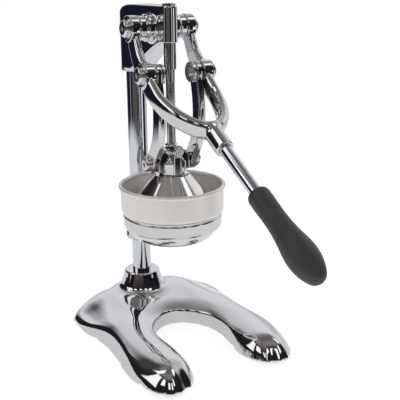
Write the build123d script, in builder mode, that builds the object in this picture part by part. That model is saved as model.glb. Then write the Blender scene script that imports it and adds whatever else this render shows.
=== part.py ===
from build123d import *
import os
from math import cos, radians, sin

os.makedirs("parts", exist_ok=True)

# Hand-lever citrus press. Millimetres, +Z up, floor at z = 0, front (lever side) towards -Y.
# Heights are above the floor; "back" and "reach" distances are measured from the column axis.

# ---- driving dimensions ----------------------------------------------------------------------
rim_radius = 60.0           # strainer cup, outside of its rolled rim
press_reach = 85.4          # column axis to press axis
column_radius = 11.5
rod_radius = 5.0            # ram rod
pin_gap = 0.05              # radial running clearance of a pin or rod in its bore
fixed_gap = 0.02            # radial gap of a pin or rod that stays fixed in its bore

pivot_back = -62.8          # lever pivot, on the head's cross barrel
pivot_height = 355.5
crank_back = -97.8          # upper link pivot, on the lever
crank_height = 310.0
lug_height = 211.6          # lower link pivot, on the crosshead

handle_root_back = -172.0   # where the handle axis leaves the yoke
handle_root_height = 260.7
handle_drop = 29.0          # handle below the horizontal at rest, degrees
socket_length = 28.5
grip_start = 92.0           # distances along the handle axis from its root
grip_cap_centre = 191.5
grip_cap_radius = 10.5

base_bottom = 6.0           # the casting's lower edge, above the floor
base_rear = 40.0            # rear edge of the base behind the column axis

# The origin is under the middle of the whole press, so the column stands behind it.
grip_tip_reach = -handle_root_back + grip_cap_centre * cos(radians(handle_drop)) + grip_cap_radius
column_y = (grip_tip_reach - base_rear) / 2
press_y = column_y - press_reach
pivot_y = column_y + pivot_back
crank_y = column_y + crank_back
root_y = column_y + handle_root_back

up = (0, 0, 1)
column_axis = Axis((0, column_y, 0), up)
press_axis = Axis((0, press_y, 0), up)
handle_direction = Vector(0, -cos(radians(handle_drop)), -sin(radians(handle_drop)))
handle_root = Vector(0, root_y, handle_root_height)
handle_axis = Axis(handle_root, handle_direction)
handle_side = Plane(origin=handle_root, x_dir=handle_direction, z_dir=(1, 0, 0))


def level(height, centre_y=0):
    """Horizontal plane at a height, with its origin on the mid plane of the press."""
    return Plane(origin=(0, centre_y, height), x_dir=(1, 0, 0), z_dir=up)


def across(x, y=0, z=0):
    """Plane that looks along +X; its local axes are +Y and +Z."""
    return Plane(origin=(x, y, z), x_dir=(0, 1, 0), z_dir=(1, 0, 0))


def facing(y, z=0):
    """Plane that looks along -Y; its local axes are +X and +Z."""
    return Plane(origin=(0, y, z), x_dir=(1, 0, 0), z_dir=(0, -1, 0))


def turned(profile, axis):
    """Solid turned about an upright axis from (radius, height) corners."""
    with BuildPart() as piece:
        with BuildSketch(facing(axis.position.Y)):
            with BuildLine():
                Polyline(*profile, close=True)
            make_face()
        revolve(axis=axis)
    return piece


def pin_pair(y, z, *steps):
    """Two mirrored pins along X; each step is (inner x, outer x, radius, bore radius)."""
    with BuildPart() as pair:
        for inner, outer, radius, bore in steps:
            with BuildSketch(across(inner, y, z)):
                Circle(radius)
                if bore:
                    Circle(bore, mode=Mode.SUBTRACT)
            extrude(amount=outer - inner)
        mirror(about=Plane.YZ)
    return pair


def save(piece, name):
    """Label one finished piece and write it as its own STEP file."""
    piece.part.label = name
    export_step(piece.part, f"parts/{name}.step")


# ---- base: a cast plate with two rear lobes, two front paws and a tapered boss ----------------
# Half of the plate's lower outline, (x, y from the column axis): rear, outer side, paw, inside of the U.
half_outline = [
    (0, base_rear), (32, 38), (60, 30), (82, 17), (94, 2), (98.5, -15), (96.5, -38), (91.5, -62),
    (88.5, -87), (89.5, -111), (93, -139), (94.5, -162), (92, -181), (86, -200), (75, -212.5), (64, -216),
    (52.5, -213), (42, -204), (34.5, -191), (32, -176), (35, -157), (38.5, -134), (37, -111), (30, -93),
    (17, -79), (0, -73),
]
# (height, inset of the wall, share of the rear lobes kept, how far the paws are cut back)
base_levels = [
    (base_bottom, 0.0, 1.0, 0.0),
    (10.0, 0.8, 0.965, 1.0),
    (16.0, 3.0, 0.86, 10.0),
    (22.0, 6.5, 0.72, 26.0),
    (26.5, 11.0, 0.58, 46.0),
]
lobe_front = -55.0          # the lobes slope down behind this line
paw_back = -150.0           # the paws slope down in front of this line


def inset_outline(inset, lobe_share, paw_cut):
    """The half outline moved inwards, with its lobes and paws pulled in, as a closed list."""
    moved = []
    for i, (x, y) in enumerate(half_outline):
        before = half_outline[i - 1] if i else (-half_outline[1][0], half_outline[1][1])
        last = i == len(half_outline) - 1
        after = (-half_outline[i - 1][0], half_outline[i - 1][1]) if last else half_outline[i + 1]
        run = Vector(after[0] - before[0], after[1] - before[1]).normalized()
        new_x = x + inset * run.Y
        new_y = y - inset * run.X
        if y > lobe_front:
            new_x *= 1 - (1 - lobe_share) * (y - lobe_front) / (base_rear - lobe_front)
        if y < paw_back:
            new_y += paw_cut * (paw_back - y) / (paw_back + 216)
        moved.append((new_x, new_y + column_y))
    mirrored = [(-x, y) for x, y in moved[-2:0:-1]]
    return moved + mirrored


boss_top = 54.0
boss_shoulder = 20.2        # radius of the boss's flat top
boss_rim = 38.0
boss_flare = [(21.6, 52.4), (25.2, 41.3), (28.2, 33.8), (boss_rim, 26.5)]
stud_radius = 5.0           # threaded lower end of the column
seat_height = 20.0          # shoulder in the boss that carries the column
pocket_height = 16.0        # recess under the base for the column's nut
pocket_radius = 13.0
foot_radius = 8.5
foot_recess = 2.0
foot_screw_radius = 2.0
foot_screw_top = 15.0
foot_spots = [(s * x, column_y + y) for s in (-1, 1) for x, y in ((66, -196), (76, -14))]

with BuildPart() as base:
    for height, inset, lobe_share, paw_cut in base_levels:
        with BuildSketch(level(height)):
            with BuildLine():
                Spline(*inset_outline(inset, lobe_share, paw_cut), periodic=True)
            make_face()
    loft()
    with BuildSketch(facing(column_y)):
        with BuildLine():
            Spline(*boss_flare)
            Polyline(boss_flare[-1], (boss_rim, 15), (0, 15), (0, boss_top), (boss_shoulder, boss_top),
                     boss_flare[0])
        make_face()
    revolve(axis=column_axis)
    with BuildSketch(level(base_bottom)):
        with Locations((0, column_y)):
            Circle(pocket_radius)
    extrude(amount=pocket_height - base_bottom, mode=Mode.SUBTRACT)
    with BuildSketch(level(base_bottom)):
        with Locations((0, column_y)):
            Circle(stud_radius + fixed_gap)
    extrude(amount=seat_height - base_bottom, mode=Mode.SUBTRACT)
    with BuildSketch(level(seat_height)):
        with Locations((0, column_y)):
            Circle(column_radius + fixed_gap)
    extrude(amount=boss_top - seat_height + 1, mode=Mode.SUBTRACT)
    with BuildSketch(level(base_bottom)):
        with Locations(*foot_spots):
            Circle(foot_radius + fixed_gap)
    extrude(amount=foot_recess, mode=Mode.SUBTRACT)
    with BuildSketch(level(base_bottom)):
        with Locations(*foot_spots):
            Circle(foot_screw_radius + fixed_gap)
    extrude(amount=foot_screw_top - base_bottom, mode=Mode.SUBTRACT)
save(base, "base")

# ---- rubber feet and their screws --------------------------------------------------------------
foot_height = base_bottom + foot_recess
screw_head_height = 2.0     # the screw's head is sunk this far into the foot
screw_head_radius = 4.0

with BuildPart() as rubber_feet:
    with BuildSketch(level(0)):
        with Locations(*foot_spots):
            Circle(foot_radius)
    extrude(amount=foot_height)
    fillet(rubber_feet.edges().group_by(Axis.Z)[0], radius=1.2)
    with BuildSketch(level(0)):
        with Locations(*foot_spots):
            Circle(screw_head_radius + 0.5)
    extrude(amount=screw_head_height + 1, mode=Mode.SUBTRACT)
    with BuildSketch(level(0)):
        with Locations(*foot_spots):
            Circle(foot_screw_radius + fixed_gap)
    extrude(amount=foot_height, mode=Mode.SUBTRACT)
save(rubber_feet, "rubber_feet")

with BuildPart() as foot_screws:
    with BuildSketch(level(1)):
        with Locations(*foot_spots):
            Circle(screw_head_radius)
    extrude(amount=screw_head_height)
    with BuildSketch(level(1 + screw_head_height)):
        with Locations(*foot_spots):
            Circle(foot_screw_radius)
    extrude(amount=foot_screw_top - 1 - screw_head_height - 0.5)
save(foot_screws, "foot_screws")

# ---- column: a round bar on the boss, its lower stud held by a nut under the base ---------------
column_top = 366.0
stud_bottom = 7.0
washer_height = 1.6
nut_radius = 9.2            # across the corners, from the axis

with BuildPart() as column:
    with BuildSketch(level(seat_height)):
        with Locations((0, column_y)):
            Circle(column_radius)
    extrude(amount=column_top - seat_height)
    chamfer(column.edges().group_by(Axis.Z)[-1], length=1)
    with BuildSketch(level(stud_bottom)):
        with Locations((0, column_y)):
            Circle(stud_radius)
    extrude(amount=seat_height - stud_bottom)
save(column, "column")

with BuildPart() as column_washer:
    with BuildSketch(level(pocket_height - washer_height)):
        with Locations((0, column_y)):
            Circle(nut_radius + 1.3)
            Circle(stud_radius + 0.3, mode=Mode.SUBTRACT)
    extrude(amount=washer_height)
save(column_washer, "column_washer")

with BuildPart() as column_nut:
    with BuildSketch(level(stud_bottom + 0.5)):
        with Locations((0, column_y)):
            RegularPolygon(radius=nut_radius, side_count=6)
            Circle(stud_radius + fixed_gap, mode=Mode.SUBTRACT)
    extrude(amount=pocket_height - washer_height - stud_bottom - 0.5)
save(column_nut, "column_nut")

# ---- head: sleeve on the column, web with an arch below, cross barrel and guide tube ------------
head_top = 380.0
sleeve_bottom = 303.0
sleeve_radius = 16.75
guide_radius = 8.6
guide_bottom = 341.0
bush_radius = 6.7           # guide bush, pressed into the guide tube
barrel_radius = 13.5
barrel_end = 28.1
bush_outer_radius = 7.0     # shaft bushes, pressed into the barrel
shaft_radius = 5.0
head_screw_radius = 4.0
head_screw_heights = (316, 346)

with BuildPart() as head:
    with BuildSketch(level(sleeve_bottom)):
        with Locations((0, column_y)):
            Circle(sleeve_radius)
        with Locations((0, press_y)):
            Circle(guide_radius)
        make_hull()
    extrude(amount=head_top - sleeve_bottom)
    with BuildSketch(across(-sleeve_radius, column_y)):
        with BuildLine():
            Polyline((20, sleeve_bottom - 1), (20, 362))
            Spline((20, 362), (10, 374), (-14, head_top), tangents=((-0.3, 1), (-1, 0.05)))
            Polyline((-14, head_top), (-100, head_top), (-100, guide_bottom), (-84, guide_bottom))
            Spline((-84, guide_bottom), (-62, 331), (-36, 316), (-16.7, 305),
                   tangents=((1, 0), (0.85, -0.5)))
            Polyline((-16.7, 305), (-14, sleeve_bottom - 1), (20, sleeve_bottom - 1))
        make_face()
    extrude(amount=2 * sleeve_radius, mode=Mode.INTERSECT)
    with BuildSketch(across(-barrel_end, pivot_y, pivot_height)):
        Circle(barrel_radius)
    extrude(amount=2 * barrel_end)
    with BuildSketch(across(-barrel_end, pivot_y, pivot_height)):
        Circle(bush_outer_radius + fixed_gap)
    extrude(amount=2 * barrel_end, mode=Mode.SUBTRACT)
    with BuildSketch(level(sleeve_bottom - 1)):
        with Locations((0, column_y)):
            Circle(column_radius + fixed_gap)
    extrude(amount=column_top + 2 - sleeve_bottom, mode=Mode.SUBTRACT)
    with BuildSketch(level(guide_bottom - 1)):
        with Locations((0, press_y)):
            Circle(bush_radius + fixed_gap)
    extrude(amount=head_top - guide_bottom + 2, mode=Mode.SUBTRACT)
    for screw_height in head_screw_heights:
        with BuildSketch(facing(column_y + sleeve_radius + 1, screw_height)):
            Circle(head_screw_radius + fixed_gap)
        extrude(amount=sleeve_radius - column_radius + 3, mode=Mode.SUBTRACT)
save(head, "head")

with BuildPart() as head_set_screws:
    for screw_height in head_screw_heights:
        with BuildSketch(facing(column_y + sleeve_radius - 0.2, screw_height)):
            Circle(head_screw_radius)
        extrude(amount=sleeve_radius - column_radius - 0.3)
        with BuildSketch(facing(column_y + sleeve_radius - 0.2, screw_height)):
            RegularPolygon(radius=2.2, side_count=6)
        extrude(amount=2.5, mode=Mode.SUBTRACT)
save(head_set_screws, "head_set_screws")

# ---- guide bush: the ram rod slides in it -------------------------------------------------------
bush_bottom = 313.0

guide_bush = turned([
    (rod_radius + pin_gap, bush_bottom), (bush_radius, bush_bottom), (bush_radius, head_top + 0.1),
    (guide_radius - 0.9, head_top + 0.1), (guide_radius - 0.9, head_top + 1),
    (rod_radius + pin_gap, head_top + 1),
], press_axis)
save(guide_bush, "guide_bush")

shaft_bushes = pin_pair(pivot_y, pivot_height, (12, barrel_end, bush_outer_radius, shaft_radius + pin_gap))
save(shaft_bushes, "shaft_bushes")

# ---- cup holder: a ring under the cup, carried by a clamp on the column --------------------------
ring_top = 153.0
ring_bottom = 137.5
ring_bore = 50.0
clamp_bottom = 97.0
clamp_top = 150.0
clamp_radius = 18.0
clamp_screw_height = 104.0
clamp_screw_radius = 3.0

with BuildPart() as cup_holder:
    with BuildSketch(facing(press_y)):
        with BuildLine():
            Polyline((0, ring_bottom), (54, ring_bottom), (55.6, ring_bottom + 2.5), (56, ring_top - 0.8),
                     (55.2, ring_top), (0, ring_top), close=True)
        make_face()
    revolve(axis=press_axis)
    with BuildSketch(level(clamp_bottom)):
        with Locations((0, column_y)):
            Circle(clamp_radius)
    extrude(amount=clamp_top - clamp_bottom)
    chamfer(cup_holder.faces().sort_by(Axis.Z)[0].edges(), length=1)
    with BuildSketch(across(-12.5, column_y)):
        with BuildLine():
            Polyline((-8, clamp_top), (-34, clamp_top), (-34, ring_bottom + 0.5))
            Spline((-34, ring_bottom + 0.5), (-24, 128), (-17, 112), tangents=((0.8, -0.6), (0.1, -1)))
            Polyline((-17, 112), (-8, 108), (-8, clamp_top))
        make_face()
    extrude(amount=25)
    with BuildSketch(level(ring_bottom - 1)):
        with Locations((0, press_y)):
            Circle(ring_bore)
    extrude(amount=ring_top - ring_bottom + 2, mode=Mode.SUBTRACT)
    with BuildSketch(level(clamp_bottom - 1)):
        with Locations((0, column_y)):
            Circle(column_radius + fixed_gap)
    extrude(amount=clamp_top - clamp_bottom + 2, mode=Mode.SUBTRACT)
    with BuildSketch(across(-clamp_radius - 1, column_y, clamp_screw_height)):
        Circle(clamp_screw_radius + fixed_gap)
    extrude(amount=clamp_radius - column_radius + 2, mode=Mode.SUBTRACT)
save(cup_holder, "cup_holder")

with BuildPart() as holder_set_screw:
    with BuildSketch(across(-clamp_radius + 0.4, column_y, clamp_screw_height)):
        Circle(clamp_screw_radius)
    extrude(amount=clamp_radius - column_radius - 0.8)
    with BuildSketch(across(-clamp_radius + 0.4, column_y, clamp_screw_height)):
        RegularPolygon(radius=1.7, side_count=6)
    extrude(amount=2.2, mode=Mode.SUBTRACT)
save(holder_set_screw, "holder_set_screw")

# ---- juice bowl: hangs in the ring and ends in a short spout -------------------------------------
bowl_wall = 1.2
bowl_radius = 49.6
dish_radius = 36.5
dish_bottom = 123.5
spout_radius = 9.0
spout_bottom = 115.0

with BuildPart() as juice_bowl:
    with BuildSketch(facing(press_y)):
        with BuildLine():
            Polyline((54.5, ring_top + bowl_wall), (54.5, ring_top), (bowl_radius, ring_top),
                     (bowl_radius, 138))
            ThreePointArc((bowl_radius, 138), (45.5, 128), (dish_radius, dish_bottom))
            Polyline((dish_radius, dish_bottom), (spout_radius, 121), (spout_radius, spout_bottom),
                     (spout_radius - bowl_wall, spout_bottom), (spout_radius - bowl_wall, 121 + bowl_wall),
                     (dish_radius - 0.3, dish_bottom + bowl_wall))
            ThreePointArc((dish_radius - 0.3, dish_bottom + bowl_wall), (44.5, 129),
                          (bowl_radius - bowl_wall, 138.4))
            Polyline((bowl_radius - bowl_wall, 138.4), (bowl_radius - bowl_wall, ring_top + bowl_wall),
                     (54.5, ring_top + bowl_wall))
        make_face()
    revolve(axis=press_axis)
save(juice_bowl, "juice_bowl")

# ---- strainer cup with a rolled rim, a sunk perforated floor and a ribbed reamer -----------------
cup_radius = 57.8
cup_wall = 1.1
cup_bottom = ring_top + bowl_wall + 0.6
rim_top = 187.0
bead_radius = 2.2
floor_height = 141.0
floor_radius = 46.5

with BuildPart() as strainer_cup:
    with BuildSketch(facing(press_y)):
        with BuildLine():
            Polyline((cup_radius, rim_top - bead_radius), (cup_radius, cup_bottom + 4))
            ThreePointArc((cup_radius, cup_bottom + 4), (cup_radius - 1, cup_bottom + 1.2),
                          (cup_radius - 3.4, cup_bottom))
            Polyline((cup_radius - 3.4, cup_bottom), (floor_radius + cup_wall, cup_bottom),
                     (floor_radius, floor_height), (0, floor_height), (0, floor_height + cup_wall),
                     (floor_radius - cup_wall, floor_height + cup_wall),
                     (floor_radius, cup_bottom + cup_wall), (cup_radius - 3.6, cup_bottom + cup_wall))
            ThreePointArc((cup_radius - 3.6, cup_bottom + cup_wall),
                          (cup_radius - 1.9, cup_bottom + 2.1), (cup_radius - cup_wall, cup_bottom + 4.2))
            Polyline((cup_radius - cup_wall, cup_bottom + 4.2),
                     (cup_radius - cup_wall, rim_top - bead_radius), (cup_radius, rim_top - bead_radius))
        make_face()
        with Locations((rim_radius - bead_radius, rim_top - bead_radius)):
            Circle(bead_radius)
    revolve(axis=press_axis)
    for ring_radius, holes in ((41.5, 30), (44.0, 30)):
        with BuildSketch(level(floor_height - 1, press_y)):
            with PolarLocations(ring_radius, holes, start_angle=ring_radius * 6):
                Circle(0.9)
        extrude(amount=cup_wall + 2, mode=Mode.SUBTRACT)
save(strainer_cup, "strainer_cup")

ribs = 10
reamer_levels = [(floor_height + cup_wall, 38.0), (154.0, 33.0), (166.0, 23.0), (175.0, 10.0)]
reamer_top = 178.0
groove_share = 0.86         # radius between the ribs over the radius on the ribs

with BuildPart() as reamer:
    for height, radius in reamer_levels:
        star = []
        for k in range(2 * ribs):
            spoke = radius * (1 if k % 2 == 0 else groove_share)
            star.append((spoke * cos(radians(180 * k / ribs)), spoke * sin(radians(180 * k / ribs))))
        with BuildSketch(level(height, press_y)):
            Polygon(*star, align=None)
    loft(ruled=True)
    with BuildSketch(level(reamer_levels[-1][0], press_y)):
        Circle(reamer_levels[-1][1] * groove_share)
    extrude(amount=reamer_top - reamer_levels[-1][0], taper=55)
save(reamer, "reamer")

# ---- ram: rod, crosshead with two lugs, and the bell-shaped press cone ---------------------------
rod_top = 381.5
rod_bottom = 186.0
lug_face = 19.5
stud_pin_radius = 4.0
skirt_bottom = 198.0
skirt_top = 211.5
hub_top = 229.0
collar_top = 232.5
screw_axis_height = 225.5
screw_boss_reach = 16.5
lug_thickness = 11.5

with BuildPart() as ram_rod:
    with BuildSketch(level(rod_bottom, press_y)):
        Circle(rod_radius)
    extrude(amount=rod_top - rod_bottom)
    chamfer(ram_rod.edges().group_by(Axis.Z)[-1], length=0.8)
save(ram_rod, "ram_rod")

with BuildPart() as crosshead:
    with BuildSketch(level(skirt_bottom, press_y)):
        RegularPolygon(radius=13.5, side_count=8, major_radius=False, rotation=22.5)
    extrude(amount=skirt_top - skirt_bottom)
    with BuildSketch(facing(press_y)):
        with BuildLine():
            Polyline((0, skirt_top - 1), (12.5, skirt_top - 1))
            Spline((12.5, skirt_top - 1), (8.6, 218), (6.6, hub_top), tangents=((-0.6, 1), (-0.1, 1)))
            Polyline((6.6, hub_top), (6.6, hub_top + 0.6), (6, collar_top), (0, collar_top),
                     (0, skirt_top - 1))
        make_face()
    revolve(axis=press_axis)
    with BuildSketch(facing(press_y + lug_thickness)):
        with BuildLine():
            Polyline((-lug_face, lug_height), (-lug_face, 202), (lug_face, 202), (lug_face, lug_height))
            Spline((lug_face, lug_height), (18.3, 218), (13, 224.5), (6, 227),
                   tangents=((0, 1), (-1, 0.1)))
            Line((6, 227), (-6, 227))
            Spline((-6, 227), (-13, 224.5), (-18.3, 218), (-lug_face, lug_height),
                   tangents=((-1, -0.1), (0, -1)))
        make_face()
    extrude(amount=2 * lug_thickness)
    with BuildSketch(across(-lug_face, press_y)):
        with BuildLine():
            Polyline((-9.5, lug_height), (-9.5, skirt_bottom), (9.5, skirt_bottom), (9.5, lug_height))
            Polyline((9.5, lug_height), (6, 227), (6, collar_top), (-6, collar_top), (-6, 227),
                     (-9.5, lug_height))
        make_face()
        with Locations((0, (skirt_bottom + skirt_top) / 2)):
            Rectangle(2 * 14, skirt_top - skirt_bottom)
    extrude(amount=2 * lug_face, mode=Mode.INTERSECT)
    with BuildSketch(facing(press_y - 4, screw_axis_height)):
        Circle(6.4)
    extrude(amount=screw_boss_reach - 4)
    with BuildSketch(facing(press_y)):
        with Locations((0, (skirt_bottom + screw_axis_height) / 2)):
            Rectangle(9, screw_axis_height - skirt_bottom)
    extrude(amount=14.5)
    with BuildSketch(level(skirt_bottom - 1, press_y)):
        Circle(rod_radius + fixed_gap)
    extrude(amount=collar_top - skirt_bottom + 2, mode=Mode.SUBTRACT)
    with BuildSketch(facing(press_y - rod_radius, screw_axis_height)):
        Circle(2.5 + fixed_gap)
    extrude(amount=screw_boss_reach, mode=Mode.SUBTRACT)
    with BuildSketch(across(-lug_face - 1, press_y, lug_height)):
        Circle(stud_pin_radius + fixed_gap)
    extrude(amount=lug_face - 7, mode=Mode.SUBTRACT)
    with BuildSketch(across(lug_face + 1, press_y, lug_height)):
        Circle(stud_pin_radius + fixed_gap)
    extrude(amount=-(lug_face - 7), mode=Mode.SUBTRACT)
save(crosshead, "crosshead")

with BuildPart() as crosshead_screw:
    with BuildSketch(facing(press_y - screw_boss_reach, screw_axis_height)):
        Circle(5.6)
    extrude(amount=1.8)
    fillet(crosshead_screw.faces().sort_by(Axis.Y)[0].edges(), radius=0.8)
    with BuildSketch(facing(press_y - rod_radius - 0.2, screw_axis_height)):
        Circle(2.5)
    extrude(amount=screw_boss_reach - rod_radius - 0.2)
    with BuildSketch(facing(press_y - screw_boss_reach - 1, screw_axis_height)):
        Rectangle(12, 1.4, rotation=35)
    extrude(amount=2, mode=Mode.SUBTRACT)
save(crosshead_screw, "crosshead_screw")

pivot_studs = pin_pair(press_y, lug_height, (8.2, lug_face, stud_pin_radius, 0))
save(pivot_studs, "pivot_studs")

cone_top = skirt_bottom - 0.2
cone_crown = 3.2            # thickness of the cone's flat top
cone_shoulder_radius = 18.0
cone_rim_radius = 46.5
cone_rim_height = 165.0
cone_lip = 2.5              # thickness of the cone's lower edge

press_cone = turned([
    (rod_radius + fixed_gap, cone_top), (cone_shoulder_radius, cone_top),
    (cone_shoulder_radius + 1.4, cone_top - 0.8), (37, 177.5), (cone_rim_radius - 0.5, 167),
    (cone_rim_radius, cone_rim_height), (cone_rim_radius - cone_lip, cone_rim_height),
    (cone_rim_radius - cone_lip - 0.6, 166.2), (35, 176), (cone_shoulder_radius, cone_top - cone_crown),
    (rod_radius + fixed_gap, cone_top - cone_crown),
], press_axis)
save(press_cone, "press_cone")

cone_washer_height = 1.3
cone_washer_bottom = cone_top - cone_crown - 0.1 - cone_washer_height
cone_nut_height = 6.1
cone_nut_radius = 8.6       # across the corners, from the axis

with BuildPart() as cone_washer:
    with BuildSketch(level(cone_washer_bottom, press_y)):
        Circle(cone_nut_radius + 1.4)
        Circle(rod_radius + 0.3, mode=Mode.SUBTRACT)
    extrude(amount=cone_washer_height)
save(cone_washer, "cone_washer")

with BuildPart() as cone_nut:
    with BuildSketch(level(cone_washer_bottom - 0.1 - cone_nut_height, press_y)):
        RegularPolygon(radius=cone_nut_radius, side_count=6)
        Circle(rod_radius + fixed_gap, mode=Mode.SUBTRACT)
    extrude(amount=cone_nut_height)
save(cone_nut, "cone_nut")

# ---- lever: forked yoke, socket, rod and grip ----------------------------------------------------
arm_inner = 28.4            # inner faces of the fork's eyes
eye_outer = 38.8
arm_outer = 40.4
eye_radius = 13.5
crank_boss_radius = 12.0
socket_radius = 9.5
handle_rod_radius = 6.3
rod_in_socket = 6.0
rod_in_grip = 150.0

# Right arm, from the pivot eye to the middle of the bend: (x, back, height, slope below the
# horizontal, turn towards the mid plane, thickness, section height).
arm_stations = [
    (33.6, -66.0, 349.0, 65, 0, 9.6, 19.0), (33.9, -76.7, 327.5, 58, 0, 10.6, 21.0),
    (34.4, -90.5, 311.5, 46, 0, 11.2, 23.5), (34.2, -106.5, 297.0, 38, 1, 11.4, 22.5),
    (33.9, -122.0, 286.2, 32, 5, 10.8, 21.0), (30.5, -137.5, 277.6, 28, 14, 11.6, 20.2),
    (24.8, -151.5, 270.6, 27, 27, 12.0, 19.8), (17.2, -162.3, 265.4, 27, 45, 12.0, 19.8),
    (8.6, -168.6, 262.2, 28, 68, 12.0, 20.2),
]
bend_middle = (0.0, -170.6, 261.2, handle_drop, 90, 12.0, 20.6)


def arm_plane(x, back, height, slope, turn):
    """Plane square to the fork's bar: local x points outwards, local y upwards."""
    forward = Vector(0, -cos(radians(slope)), -sin(radians(slope)))
    sideways = Vector(1, 0, 0)
    along = forward * cos(radians(turn)) - sideways * sin(radians(turn))
    outward = sideways * cos(radians(turn)) + forward * sin(radians(turn))
    return Plane(origin=(x, column_y + back, height), x_dir=outward, z_dir=along)


left_stations = [(-x, *rest[:3], 180 - rest[3], *rest[4:]) for x, *rest in reversed(arm_stations)]
fork_stations = [*arm_stations, bend_middle, *left_stations]

with BuildPart() as yoke:
    for *place, thickness, section_height in fork_stations:
        with BuildSketch(arm_plane(*place)):
            RectangleRounded(thickness, section_height, 4.2)
    loft(ruled=True)
    for side in (-1, 1):
        with BuildSketch(across(side * arm_inner, pivot_y, pivot_height)):
            Circle(eye_radius)
        extrude(amount=side * (eye_outer - arm_inner))
        with BuildSketch(across(side * arm_inner, crank_y, crank_height)):
            Circle(crank_boss_radius)
        extrude(amount=side * (arm_outer - arm_inner))
        with BuildSketch(across(side * (arm_inner - 1))):
            with Locations((pivot_y, pivot_height), (crank_y, crank_height)):
                Circle(shaft_radius + fixed_gap)
        extrude(amount=side * 20, mode=Mode.SUBTRACT)
    with BuildSketch(handle_side):
        with BuildLine():
            Polyline((-4, 0), (-4, socket_radius), (socket_length - 1, socket_radius),
                     (socket_length, socket_radius - 1), (socket_length, 0), close=True)
        make_face()
    revolve(axis=handle_axis)
    with BuildSketch(handle_side):
        with BuildLine():
            Polyline((rod_in_socket, 0), (rod_in_socket, handle_rod_radius + fixed_gap),
                     (socket_length + 1, handle_rod_radius + fixed_gap), (socket_length + 1, 0), close=True)
        make_face()
    revolve(axis=handle_axis, mode=Mode.SUBTRACT)
save(yoke, "yoke")

with BuildPart() as handle_rod:
    with BuildSketch(handle_side):
        with BuildLine():
            Polyline((rod_in_socket + 0.2, 0), (rod_in_socket + 0.2, handle_rod_radius),
                     (rod_in_grip - 0.2, handle_rod_radius), (rod_in_grip - 0.2, 0), close=True)
        make_face()
    revolve(axis=handle_axis)
save(handle_rod, "handle_rod")

cap_angle = 60.0            # the rounded end starts this far round from the handle axis
cap_start = (grip_cap_centre + grip_cap_radius * cos(radians(cap_angle)),
             grip_cap_radius * sin(radians(cap_angle)))
cap_middle = (grip_cap_centre + grip_cap_radius * cos(radians(cap_angle / 2)),
              grip_cap_radius * sin(radians(cap_angle / 2)))
grip_tip = grip_cap_centre + grip_cap_radius
grip_curve = [(grip_start + 5.5, 11.3), (121, 10.9), (150, 12.8), (171, 15.3), cap_start]

with BuildPart() as handle_grip:
    with BuildSketch(handle_side):
        with BuildLine():
            Line((grip_start, 0), (grip_start, 8.6))
            Spline((grip_start, 8.6), (grip_start + 1.6, 10.5), grip_curve[0], tangents=((0.1, 1), (1, 0.02)))
            Spline(*grip_curve, tangents=((1, 0.02), (sin(radians(cap_angle)), -cos(radians(cap_angle)))))
            ThreePointArc(cap_start, cap_middle, (grip_tip, 0))
            Line((grip_tip, 0), (grip_start, 0))
        make_face()
    revolve(axis=handle_axis)
    with BuildSketch(handle_side):
        with BuildLine():
            Polyline((grip_start - 1, 0), (grip_start - 1, handle_rod_radius + fixed_gap),
                     (rod_in_grip, handle_rod_radius + fixed_gap), (rod_in_grip, 0), close=True)
        make_face()
    revolve(axis=handle_axis, mode=Mode.SUBTRACT)
save(handle_grip, "handle_grip")

# ---- lever pivot: a shaft through the barrel, held by a bolt and washer at each end ---------------
shaft_end = eye_outer - 0.2
bolt_head_radius = 9.0
bolt_shank_radius = 3.0
bolt_depth = 14.0
washer_thickness = 1.3
bolt_head_height = 4.6
bolt_dome = 3.0             # radius of the rounded edge of a bolt's head
socket_depth = 2.6          # hexagonal recess in a bolt's head

with BuildPart() as pivot_shaft:
    with BuildSketch(across(-shaft_end, pivot_y, pivot_height)):
        Circle(shaft_radius)
    extrude(amount=2 * shaft_end)
    for side in (-1, 1):
        with BuildSketch(across(side * shaft_end, pivot_y, pivot_height)):
            Circle(bolt_shank_radius + fixed_gap)
        extrude(amount=-side * (bolt_depth + 0.5), mode=Mode.SUBTRACT)
save(pivot_shaft, "pivot_shaft")

shaft_washers = pin_pair(pivot_y, pivot_height, (
    eye_outer, eye_outer + washer_thickness, 10.8, bolt_shank_radius + 0.3))
save(shaft_washers, "shaft_washers")


def button_bolts(y, z, seat, head_radius, shank_radius, shank_end, tapped_radius=0):
    """A mirrored pair of domed bolts along X whose heads sit at |x| = seat; the end may be tapped."""
    with BuildPart() as pair:
        with BuildSketch(across(seat, y, z)):
            Circle(head_radius)
        extrude(amount=bolt_head_height)
        fillet(pair.faces().sort_by(Axis.X)[-1].edges(), radius=bolt_dome)
        with BuildSketch(across(seat + bolt_head_height, y, z)):
            RegularPolygon(radius=3.2, side_count=6)
        extrude(amount=-socket_depth, mode=Mode.SUBTRACT)
        with BuildSketch(across(shank_end, y, z)):
            Circle(shank_radius)
        extrude(amount=seat - shank_end)
        if tapped_radius:
            with BuildSketch(across(shank_end, y, z)):
                Circle(tapped_radius)
            extrude(amount=tapped_depth, mode=Mode.SUBTRACT)
        mirror(about=Plane.YZ)
    return pair


tapped_depth = 12.0         # hole for the cap's screw in the end of an upper link bolt
shaft_bolts = button_bolts(pivot_y, pivot_height, eye_outer + washer_thickness, bolt_head_radius,
                           bolt_shank_radius, shaft_end - bolt_depth)
save(shaft_bolts, "shaft_bolts")

# ---- links: two bowed bars from the yoke down to the crosshead -----------------------------------
link_inner = 20.1
link_outer = 28.1
link_width = 17.0
link_upper_eye = 11.0
link_lower_eye = 10.6
link_bow = -104.6           # how far forward of the column the bar's middle lies
upper_pin_radius = 5.0
lower_pin_radius = 4.0
lower_head_radius = 8.0
cap_inner = 17.0            # inner face of the caps on the links' upper pins

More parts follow.
